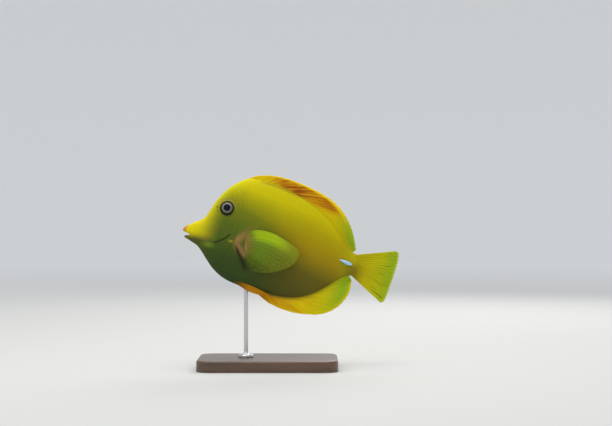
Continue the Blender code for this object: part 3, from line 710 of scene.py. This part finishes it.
def finSheet(name, spec, middle, half):
    # a grid whose columns follow the rays, given its thickness with the rays raised in it
    columns = (spec["rays"] - 1) * spec["perRay"]
    bpy.ops.mesh.primitive_grid_add(x_subdivisions=columns, y_subdivisions=spec["rows"], size=2)
    sheet = newPiece(name)
    u, v = (coordinates(sheet)[:, :2].T + 1) / 2
    step = 1e-3
    centre = middle(u, v)
    alongU = middle(np.minimum(u + step, 1), v) - middle(np.maximum(u - step, 0), v)
    alongV = middle(u, np.minimum(v + step, 1)) - middle(u, np.maximum(v - step, 0))
    normal = np.cross(alongU, alongV)
    normal /= np.maximum(np.linalg.norm(normal, axis=1, keepdims=True), 1e-9)
    reach = half(u, v)
    moveTo(sheet, centre + normal * reach[:, None])
    pickOnly(sheet)
    bpy.ops.object.duplicate()
    back = bpy.context.object
    moveTo(back, centre - normal * reach[:, None])
    pickOnly(back)
    bpy.ops.object.mode_set(mode="EDIT")
    bpy.ops.mesh.select_all(action="SELECT")
    bpy.ops.mesh.flip_normals()
    bpy.ops.object.mode_set(mode="OBJECT")
    sheet.select_set(True)
    bpy.context.view_layer.objects.active = sheet
    bpy.ops.object.join()
    bpy.ops.object.mode_set(mode="EDIT")
    bpy.ops.mesh.select_all(action="DESELECT")
    bpy.ops.mesh.select_non_manifold()
    bpy.ops.mesh.bridge_edge_loops()
    bpy.ops.object.mode_set(mode="OBJECT")
    facesOut(sheet)
    return sheet


def rayProfile(u, v, spec):
    # height of the rays over the membrane: round bars that taper, and fork before the margin
    turn = u * (spec["rays"] - 1)
    bar = np.cos(math.pi * turn) ** 2
    fork = softStep(v, 0.45, 0.8)
    off = np.abs(turn - np.rint(turn))
    return bar**3 * (1 - fork) + bump(off, 0.17, 0.09) * fork * 0.8


def ridged(spec):
    # half thickness over the fin: membrane, rays and a thicker root
    def half(u, v):
        edge = 1 - 0.55 * softStep(v, 0.8, 1)
        strong = spec.get("leading", 0) * bump(u, 0, 0.03)
        root = spec["root"] * (1 - spec.get("rootThin", 0) * np.abs(2 * u - 1) ** 4)
        taper = (1 - 0.5 * v) * softStep(v, -0.05, spec.get("rayStart", 0.05))
        height = (spec["membrane"] + (spec["ray"] + strong) * rayProfile(u, v, spec) * taper) * edge
        return height + root * np.exp(-v / spec["fade"])

    return half


def bodyEdge(rows, top, sink=2.0):
    # the body's upper or lower edge between two places along the sections, sunk into the body
    rows = along(body["sections"], np.linspace(*rows, 24))
    upper, lower = rows[:, :2], rows[:, 2:4]
    edge, other = (upper, lower) if top else (lower, upper)
    inward = (other - edge) / np.linalg.norm(other - edge, axis=1, keepdims=True)
    return byLength(edge + inward * sink)


def folded(spec):
    # how far the fin sways out of the middle plane
    def sway(u, v):
        return spec.get("swing", 0) * v**2 + spec["fold"] * v * np.sin(spec["folds"] * math.pi * u)

    return sway


def swept(root, margin, spec):
    # middle of a fin from its root to its margin, drawn in a little between the ray tips
    sway = folded(spec)

    def middle(u, v):
        start, end = root(u), margin(1 - (1 - u) ** spec["sweep"])
        length = np.linalg.norm(end - start, axis=-1)
        between = np.sin(math.pi * u * (spec["rays"] - 1)) ** 2 * softStep(v, 0.6, 1)
        reach = v * (1 - spec["notch"] / np.maximum(length, 2) * between)
        flat = start + (end - start) * reach[..., None]
        return np.stack([flat[..., 0], sway(u, v), flat[..., 1]], -1)

    return middle


# For each fin, perRay and rows count the mesh's columns for a ray and its rows out to the margin. Half
# thicknesses of membrane, rays and root are in millimetres, and the root's falls off over fade, a share
# of the way out. Joints counts the cross lines on a ray.
dorsal = {
    "rays": 30, "perRay": 6, "rows": 44, "sweep": 2.5, "notch": 0.25, "joints": 26,
    "membrane": 0.16, "ray": 0.26, "root": 0.7, "fade": 0.12, "fold": 0.5, "folds": 3,
    "base": (13.05, 21.05),
    "margin": (
        (36.2, 46.6), (39.4, 49.0), (44.5, 51.1), (51.0, 52.7), (58.0, 53.3), (68.0, 52.8), (80.0, 50.8),
        (91.0, 48.0), (100.0, 44.2), (108.0, 38.2), (115.0, 29.8), (119.6, 21.0), (121.8, 15.2),
    ),
}
anal = {
    "rays": 23, "perRay": 6, "rows": 40, "sweep": 3.0, "notch": 0.25, "joints": 26,
    "membrane": 0.16, "ray": 0.26, "root": 0.6, "fade": 0.12, "fold": 0.5, "folds": 3,
    "base": (14.4, 21.3),
    "margin": (
        (60.5, -30.0), (66.0, -33.2), (73.0, -35.8), (81.0, -37.3), (90.0, -37.7), (99.0, -36.7),
        (107.0, -34.8), (114.5, -30.6), (120.5, -23.6), (124.0, -14.6), (123.8, -6.6),
    ),
}
tail = {
    "rays": 18, "perRay": 8, "rows": 56, "sweep": 1.0, "notch": 0.35, "joints": 40,
    "membrane": 0.16, "ray": 0.3, "root": 1.7, "fade": 0.2, "rootThin": 0.75,
    "swing": 3.2, "fold": 0.55, "folds": 3.4,
    "base": ((120.5, 11.2), (120.5, -2.0)),
    "margin": (
        (149.6, 20.7), (152.0, 19.4), (152.7, 13.0), (152.1, 5.0), (151.3, -3.5),
        (150.4, -10.5), (149.3, -15.6), (147.3, -17.4),
    ),
}
pectoral = {
    "rays": 15, "perRay": 8, "rows": 52, "joints": 44,
    "membrane": 0.18, "ray": 0.11, "leading": 0.3, "root": 0.7, "fade": 0.14, "rayStart": 0.3,
    "base": ((39.7, 2.9), (45.9, -6.1)),
    "margin": (
        (80.8, 7.2), (83.8, 3.8), (82.8, -1.9), (77.6, -7.6), (69.2, -12.2), (60.6, -15.0),
        (53.5, -15.2),
    ),
    "bow": (-11.5, 17.5), "bowFade": 1.6, "sink": 2.0, "outPower": 0.9,
    # how far each side's fin stands out: at its front edge, more in its middle, and at its rear edge
    "out": {-1: (5.5, 7.0, 2.5), 1: (7.5, 7.5, 3.0)},
}
pelvic = {
    "rays": 6, "perRay": 8, "rows": 40, "joints": 26,
    "membrane": 0.18, "ray": 0.22, "leading": 0.15, "root": 0.3, "fade": 0.1,
    "base": ((42.4, -25.0), (45.2, -26.2)), "tip": (69.5, -29.4), "tipHalf": 0.5,
    "depth": 3.6, "straight": 0.35, "full": 0.8, "side": (2.7, 4.1), "sink": 0.9,
}


def pectoralMiddle(side):
    root, margin = byLength(pectoral["base"]), byLength(pectoral["margin"])
    leading, belly, trailing = pectoral["out"][side]
    shares = np.linspace(0, 1, 21)
    rootY = np.array([skinSide(*root(share)) for share in shares]) - pectoral["sink"]

    def middle(u, v):
        start, end = root(u), margin(u)
        bow = np.array(pectoral["bow"]) * ((1 - u) ** pectoral["bowFade"] * 2 * v * (1 - v))[..., None]
        flat = start + (end - start) * v[..., None] + bow
        out = leading + (trailing - leading) * u + belly * np.sin(math.pi * u)
        y = np.interp(u, shares, rootY) + (out + pectoral["sink"]) * v ** pectoral["outPower"]
        return np.stack([flat[..., 0], side * y, flat[..., 1]], -1)

    return middle


def pelvicMiddle(side):
    root, tip = byLength(pelvic["base"]), np.array(pelvic["tip"])

    def middle(u, v):
        start = root(u)
        end = np.stack([tip[0] + 0 * u, tip[1] + pelvic["tipHalf"] * (1 - 2 * u)], -1)
        flat = start + (end - start) * v[..., None]
        swell = np.sin(math.pi * np.minimum(v * 1.05, 1)) ** pelvic["full"]
        flat[..., 1] -= pelvic["depth"] * (u - pelvic["straight"]) * swell
        near, far = pelvic["side"]
        y = near + (far - near) * v - pelvic["sink"] * (1 - v) ** 6
        return np.stack([flat[..., 0], side * y, flat[..., 1]], -1)

    return middle


finTints = {
    "gold": (0.76, 0.49, 0.002), "orange": (0.56, 0.25, 0.003), "burnt": (0.29, 0.058, 0.003),
    "rust": (0.22, 0.045, 0.004), "rim": (0.85, 0.55, 0.006), "root": (0.12, 0.08, 0.006),
    "green": (0.24, 0.38, 0.010), "streak": (0.10, 0.13, 0.008), "paleRim": (0.48, 0.52, 0.06),
    "anal": (
        (60, (0.36, 0.16, 0.008)), (76, (0.64, 0.35, 0.004)), (92, (0.76, 0.59, 0.003)),
        (108, (0.55, 0.52, 0.004)), (119, (0.27, 0.42, 0.010)),
    ),
    "clear": (
        (0.0, (0.27, 0.15, 0.045)), (0.2, (0.23, 0.15, 0.033)), (0.32, (0.17, 0.22, 0.016)),
        (0.5, (0.16, 0.27, 0.014)), (1, (0.18, 0.21, 0.012)),
    ),
    "leading": (0.32, 0.45, 0.006), "rootPink": (0.55, 0.32, 0.12),
}


def finPaint(name, spec):
    # thin skin that light soaks through, with joints across its rays
    paint = Paint(name, **{
        "Roughness": 0.45, "Specular IOR Level": 0.08,
        "Subsurface Weight": 0.3, "Subsurface Scale": 0.0015, "Subsurface Radius": (1.0, 0.75, 0.1),
    })
    u, v, _ = paint.parts(paint.add("ShaderNodeUVMap"))
    ray = (u * ((spec["rays"] - 1) * math.pi) + math.pi / 2).sine() ** 2
    joints = (v * (spec["joints"] * 2 * math.pi)).sine()
    paint.bumpFrom(joints * ray * 0.4 + ray, 0.04 * mm, 0.35)
    return paint, u, v, ray


def streaks(paint, u, v, count, seed):
    # noise drawn out along the rays
    place = paint.add("ShaderNodeCombineXYZ", None, (u * count, v * 1.6, seed))
    return paint.noise(place, 1.0, 3.0)


def dorsalMaterial():
    paint, u, v, ray = finPaint("dorsalFin", dorsal)
    where = paint.fishPlace()
    x, _, z = paint.parts(where)
    streak = streaks(paint, u, v, 26, 0.0)
    # the body's colour and painted shade at the root, golden ahead and green to the rear
    colour = paint.mix(v.rise(0.0, 0.6) * x.rise(108, 84) * 0.6, bodyTintAndShade(paint, where), finTints["gold"])
    colour = paint.mix(x.rise(100, 119) * v.rise(0.2, 0.9), colour, finTints["green"])
    # the burnt patch lies over a line that slopes to the rear, and keeps off the rim
    over = z + (x - 66) * 0.24 - 45
    burnt = x.rise(46, 62) * x.rise(112, 98) * over.rise(-2.2, 1.8) * v.rise(0.99, 0.84)
    colour = paint.mix(burnt * 0.75, colour, finTints["orange"])
    dark = streak.rise(0.38, 0.62) * x.rise(52, 68) * (0.55 + x.spot(72, 20) * 0.45)
    colour = paint.mix(burnt * dark, colour, finTints["burnt"])
    colour = paint.mix(ray.rise(0.2, 0.9) * burnt * 0.25, colour, finTints["rust"])
    colour = paint.mix(v.rise(0.84, 0.95) * x.rise(116, 100) * 0.9, colour, finTints["rim"])
    # painted shadow: a dark band along the fin's root where it meets the back
    base = v.rise(0.3, 0.1) * x.rise(46, 56) * x.rise(84, 70)
    paint.set("Base Color", paint.mix(base * 0.55, colour, finTints["root"]))
    return paint.material


def analMaterial():
    paint, u, v, _ = finPaint("analFin", anal)
    where = paint.fishPlace()
    x = paint.parts(where)[0]
    streak = streaks(paint, u, v, 22, 4.0)
    # orange to green from front to rear, with dark and pale streaks, and the body's colour and painted
    # shade at the root
    colour = paint.ramp(x, 56, 124, finTints["anal"])
    colour = paint.mix(streak.rise(0.45, 0.72) * x.rise(112, 92) * 0.5, colour, finTints["orange"])
    colour = paint.mix(streak.rise(0.5, 0.3) * x.rise(112, 92) * 0.4, colour, finTints["rim"])
    colour = paint.mix(v.rise(0.42, 0.05), colour, bodyTintAndShade(paint, where))
    paint.set("Base Color", paint.mix(v.rise(0.92, 0.99) * 0.6, colour, finTints["rim"]))
    return paint.material


def tailMaterial():
    paint, u, v, ray = finPaint("tailFin", tail)
    streak = streaks(paint, u, v, 15, 8.0)
    # the body's colour and painted shade, carried out into the fin
    colour = bodyTintAndShade(paint, paint.fishPlace())
    # streaks between the rays of the middle and the lower lobe, in the outer half
    outer = v.rise(0.5, 0.72) * v.rise(0.98, 0.9) * u.rise(0.16, 0.3)
    dark = streak.rise(0.47, 0.56) * ray.rise(0.6, 0.1) * outer
    colour = paint.mix(dark * 0.75, colour, finTints["streak"])
    edge = u.rise(0.03, 0.0).most(u.rise(0.97, 1.0)).most(v.rise(0.96, 0.99))
    paint.set("Base Color", paint.mix(edge * 0.6, colour, finTints["paleRim"]))
    return paint.material


def pectoralMaterial():
    paint, u, v, ray = finPaint("pectoralFin", pectoral)
    # takes up the flank's colour and painted shade outwards and downwards, as the clear skin lets it
    # through
    behind = bodyTintAndShade(paint, paint.fishPlace())
    fade = v.rise(0.3, 0.7) * 0.3 + u.rise(0.5, 0.95) * 0.55
    colour = paint.mix(fade, paint.ramp(v, 0, 1, finTints["clear"]), behind)
    # ruddy root, and a painted highlight: a bright streak along the front edge where the top light catches
    # it
    root = v.rise(0.2, 0.1) * u.rise(0.2, 0.5)
    colour = paint.mix(root * 0.7, colour, finTints["rootPink"])
    leading = u.rise(0.26, 0.12) * v.rise(0.26, 0.42) * v.rise(1.0, 0.66)
    colour = paint.mix(leading * 0.95, colour, finTints["leading"])
    colour = paint.mix(ray.rise(0.3, 0.95) * 0.1, colour, finTints["leading"])
    # clear between the rays, more so low and far out, and dense only at the root and in front
    clear = v.rise(0.1, 0.36) * u.rise(0.14, 0.36)
    thin = clear * (0.34 + u.rise(0.5, 1.0) * 0.18 - ray * 0.06) + v.rise(0.7, 1.0) * 0.16
    paint.set("Alpha", 1 - thin)
    paint.set("Base Color", colour)
    return paint.material


def pelvicMaterial():
    paint, _, v, ray = finPaint("pelvicFin", pelvic)
    colour = paint.mix(v.rise(0.0, 0.5), finTints["root"], finTints["orange"])
    paint.set("Base Color", paint.mix(ray.rise(0.3, 0.95) * 0.35, colour, finTints["rust"]))
    return paint.material


def makeFins():
    top, belly = bodyEdge(dorsal["base"], True), bodyEdge(anal["base"], False)
    single = (
        ("dorsal", dorsal, top, dorsalMaterial),
        ("anal", anal, belly, analMaterial),
        ("tail", tail, byLength(tail["base"]), tailMaterial),
    )
    for word, spec, root, material in single:
        sheet = finSheet(word + "Fin", spec, swept(root, byLength(spec["margin"]), spec), ridged(spec))
        finishPiece(sheet, material(), "fin", word + "_fin")
    clear, golden = pectoralMaterial(), pelvicMaterial()
    for word, side in (("Left", -1), ("Right", 1)):
        sheet = finSheet("pectoralFin" + word, pectoral, pectoralMiddle(side), ridged(pectoral))
        finishPiece(sheet, clear, "clear_fin", "pectoral_fin_" + word.lower())
        sheet = finSheet("pelvicFin" + word, pelvic, pelvicMiddle(side), ridged(pelvic))
        finishPiece(sheet, golden, "fin", "pelvic_fin_" + word.lower())


# Folded spines on the tail's root

scalpel = {
    "centre": (116.6, 5.1), "half": (4.9, 1.45, 1.35), "tilt": math.radians(10.5), "out": 0.25,
    "pale": (0.36, 0.70, 0.80), "violet": (0.42, 0.50, 0.72),
}


def makeScalpel(name, side, node, material):
    bpy.ops.mesh.primitive_uv_sphere_add(segments=40, ring_count=28, radius=1)
    blade = newPiece(name)
    co = coordinates(blade)
    # the ball's axis becomes the blade's length: its point lies forward, and its root is round
    long, high, thick = co[:, 2].copy(), co[:, 0].copy(), co[:, 1].copy()
    taper = (0.5 + 0.5 * softStep(long, -1, 0.2)) * np.maximum(1 - long**2, 1e-6) ** -0.1
    halfLength, halfHeight, halfThick = scalpel["half"]
    x = long * halfLength
    z = high * halfHeight * taper + 0.15 * long**2
    y = thick * halfThick * taper * (1 - 0.3 * softStep(-high, 0.2, 1))
    moveTo(blade, np.stack([x, y, z], -1))
    facesOut(blade)
    centreX, centreZ = scalpel["centre"]
    place = Vector((centreX, side * (skinSide(centreX, centreZ) + scalpel["out"]), centreZ))
    blade.data.transform(Matrix.Translation(place) @ Matrix.Rotation(scalpel["tilt"], 4, "Y"))
    finishPiece(blade, material, "spine", node)


def scalpelMaterial():
    paint = Paint("tailSpine", **{
        "Subsurface Weight": 0.3, "Subsurface Scale": 0.001,
        "Coat Weight": 0.2, "Coat Roughness": 0.1, "Roughness": 0.35,
    })
    grain = paint.noise(paint.fishPlace(), 1.4, 4.0)
    paint.set("Base Color", paint.mix(grain.rise(0.3, 0.7), scalpel["pale"], scalpel["violet"]))
    paint.bumpFrom(grain, 0.05 * mm, 0.4)
    return paint.material


# Stand

wood = {
    "grain": (9.0, 90.0, 90.0), "pores": (70.0, 1400.0, 1400.0),  # turns of the pattern in a metre
    "dark": (0.045, 0.022, 0.011), "light": (0.12, 0.062, 0.03), "pore": (0.02, 0.01, 0.006),
}
steel = {"brush": (400.0, 400.0, 9000.0), "grey": (0.62, 0.62, 0.63, 1)}


def makeStand():
    for name, material in (("stand_base", woodMaterial()), ("stand_rod", steelMaterial())):
        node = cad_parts[name]
        node.data.materials.clear()
        node.data.materials.append(material)
    print("stand in wood and steel")


def woodMaterial():
    paint = Paint("standWood", **{"Coat Weight": 0.35, "Coat Roughness": 0.2})
    place = paint.objectPlace()
    bands = paint.noise(paint.drawnOut(place, wood["grain"]), 1.2, 6.0, 0.6)
    pores = paint.noise(paint.drawnOut(place, wood["pores"]), 1.0, 2.0)
    colour = paint.mix(bands.rise(0.3, 0.7), wood["dark"], wood["light"])
    paint.set("Base Color", paint.mix(pores.rise(0.6, 0.75) * 0.6, colour, wood["pore"]))
    paint.set("Roughness", 0.38 + pores * 0.15)
    paint.bumpFrom(pores, 0.04 * mm, 0.3)
    return paint.material


def steelMaterial():
    paint = Paint("standSteel", **{"Metallic": 1.0, "Base Color": steel["grey"]})
    brushed = paint.noise(paint.drawnOut(paint.objectPlace(), steel["brush"]), 1.0, 2.0)
    paint.set("Roughness", 0.24 + brushed * 0.16)
    return paint.material


# Studio

studio = {
    "floorRadius": 2.4, "floorRim": 1.0, "floorSides": 96, "rimSteps": 8,
    "floor": (0.60, 0.60, 0.59), "backdrop": (0.90, 0.90, 0.90), "fade": (0.25, 2.2),
    "sky": (0.84, 0.87, 0.90), "skyStrength": 0.8,
    "aim": (0.0, 0.0, 0.1),  # what the lamps point at
    "lamps": (
        # name, place, width, power and colour
        ("topLight", (-0.05, -0.12, 0.85), 0.7, 4.6, (1.0, 0.98, 0.93)),
        ("rearLight", (0.25, 0.65, 0.55), 0.5, 2.2, (1.0, 0.97, 0.9)),
        ("sideLight", (-0.7, -0.8, 0.45), 0.6, 0.8, (0.9, 0.96, 1.0)),
    ),
}


def makeFloor():
    # floor that curves up all round into a pale backdrop
    deselectAll()
    radius, rim, steps = studio["floorRadius"], studio["floorRim"], studio["rimSteps"]
    bpy.ops.mesh.primitive_circle_add(vertices=studio["floorSides"], radius=radius, fill_type="NGON")
    floor = newPiece("studioFloor")
    bpy.ops.object.mode_set(mode="EDIT")
    bpy.ops.mesh.select_mode(type="EDGE")
    bpy.ops.mesh.select_all(action="SELECT")
    bpy.ops.mesh.region_to_loop()
    for step in range(steps):
        before, turned = (math.pi / 2 * turn / steps for turn in (step, step + 1))
        wider = (radius + rim * math.sin(turned)) / (radius + rim * math.sin(before))
        lift = rim * (math.cos(before) - math.cos(turned))
        bpy.ops.mesh.extrude_edges_move(TRANSFORM_OT_translate={"value": (0, 0, lift)})
        bpy.ops.transform.resize(value=(wider, wider, 1))
    bpy.ops.object.mode_set(mode="OBJECT")
    bpy.ops.object.shade_smooth()
    floor.data.materials.append(floorMaterial())


def floorMaterial():
    paint = Paint("studioFloor", **{"Roughness": 0.9, "Specular IOR Level": 0.1})
    x, y, _ = paint.parts(paint.objectPlace())
    # darker near the middle, where the lamps fall strongest, and paler far out: painted shade and light
    # that even out the lamps' fall-off
    away = (x * x + y * y) ** 0.5
    paint.set("Base Color", paint.mix(away.rise(*studio["fade"]), studio["floor"], studio["backdrop"]))
    return paint.material


def makeLight():
    world = bpy.context.scene.world or bpy.data.worlds.new("studio")
    bpy.context.scene.world = world
    world.use_nodes = True
    sky = world.node_tree.nodes["Background"]
    sky.inputs["Color"].default_value = (*studio["sky"], 1)
    sky.inputs["Strength"].default_value = studio["skyStrength"]
    for name, place, width, power, colour in studio["lamps"]:
        bpy.ops.object.light_add(type="AREA", location=place)
        lamp = bpy.context.object
        lamp.name = name
        lamp.data.shape = "DISK"
        lamp.data.size = width
        lamp.data.energy = power
        lamp.data.color = colour
        lamp.rotation_euler = (Vector(studio["aim"]) - Vector(place)).to_track_quat("-Z", "Y").to_euler()
    print(len(studio["lamps"]), "lamps over the floor")


photo = {
    "width": 612, "height": 426, "mmPerPixel": 0.703, "snoutX": 182.3, "snoutY": 232.0,
    "lens": 85.0, "sensor": 36.0, "distance": 1.016,
}


def makeCamera():
    # level with the photo's middle, which the snout's pixel and the photo's scale place
    snoutX, _, snoutZ = pose["snout"]
    x = snoutX + (photo["width"] / 2 - photo["snoutX"]) * photo["mmPerPixel"]
    z = snoutZ + (photo["snoutY"] - photo["height"] / 2) * photo["mmPerPixel"]
    place = (x * mm, -photo["distance"], z * mm)
    bpy.ops.object.camera_add(location=place, rotation=(math.pi / 2, 0, 0))
    camera = bpy.context.object
    camera.data.lens, camera.data.sensor_width = photo["lens"], photo["sensor"]
    camera.data.clip_start = 0.01
    bpy.context.scene.camera = camera
    bpy.context.scene.view_settings.view_transform = "Standard"
    print("camera level with the fish's left side")


deselectAll()
makeCamera()
makeSkin()
eyePaint, spinePaint = eyeMaterial(), scalpelMaterial()
for word, side in (("Left", -1), ("Right", 1)):
    makeEye("eye" + word, side, "eye_" + word.lower(), eyePaint)
    makeScalpel("tailSpine" + word, side, "tail_spine_" + word.lower(), spinePaint)
makeFins()
makeStand()
makeFloor()
makeLight()
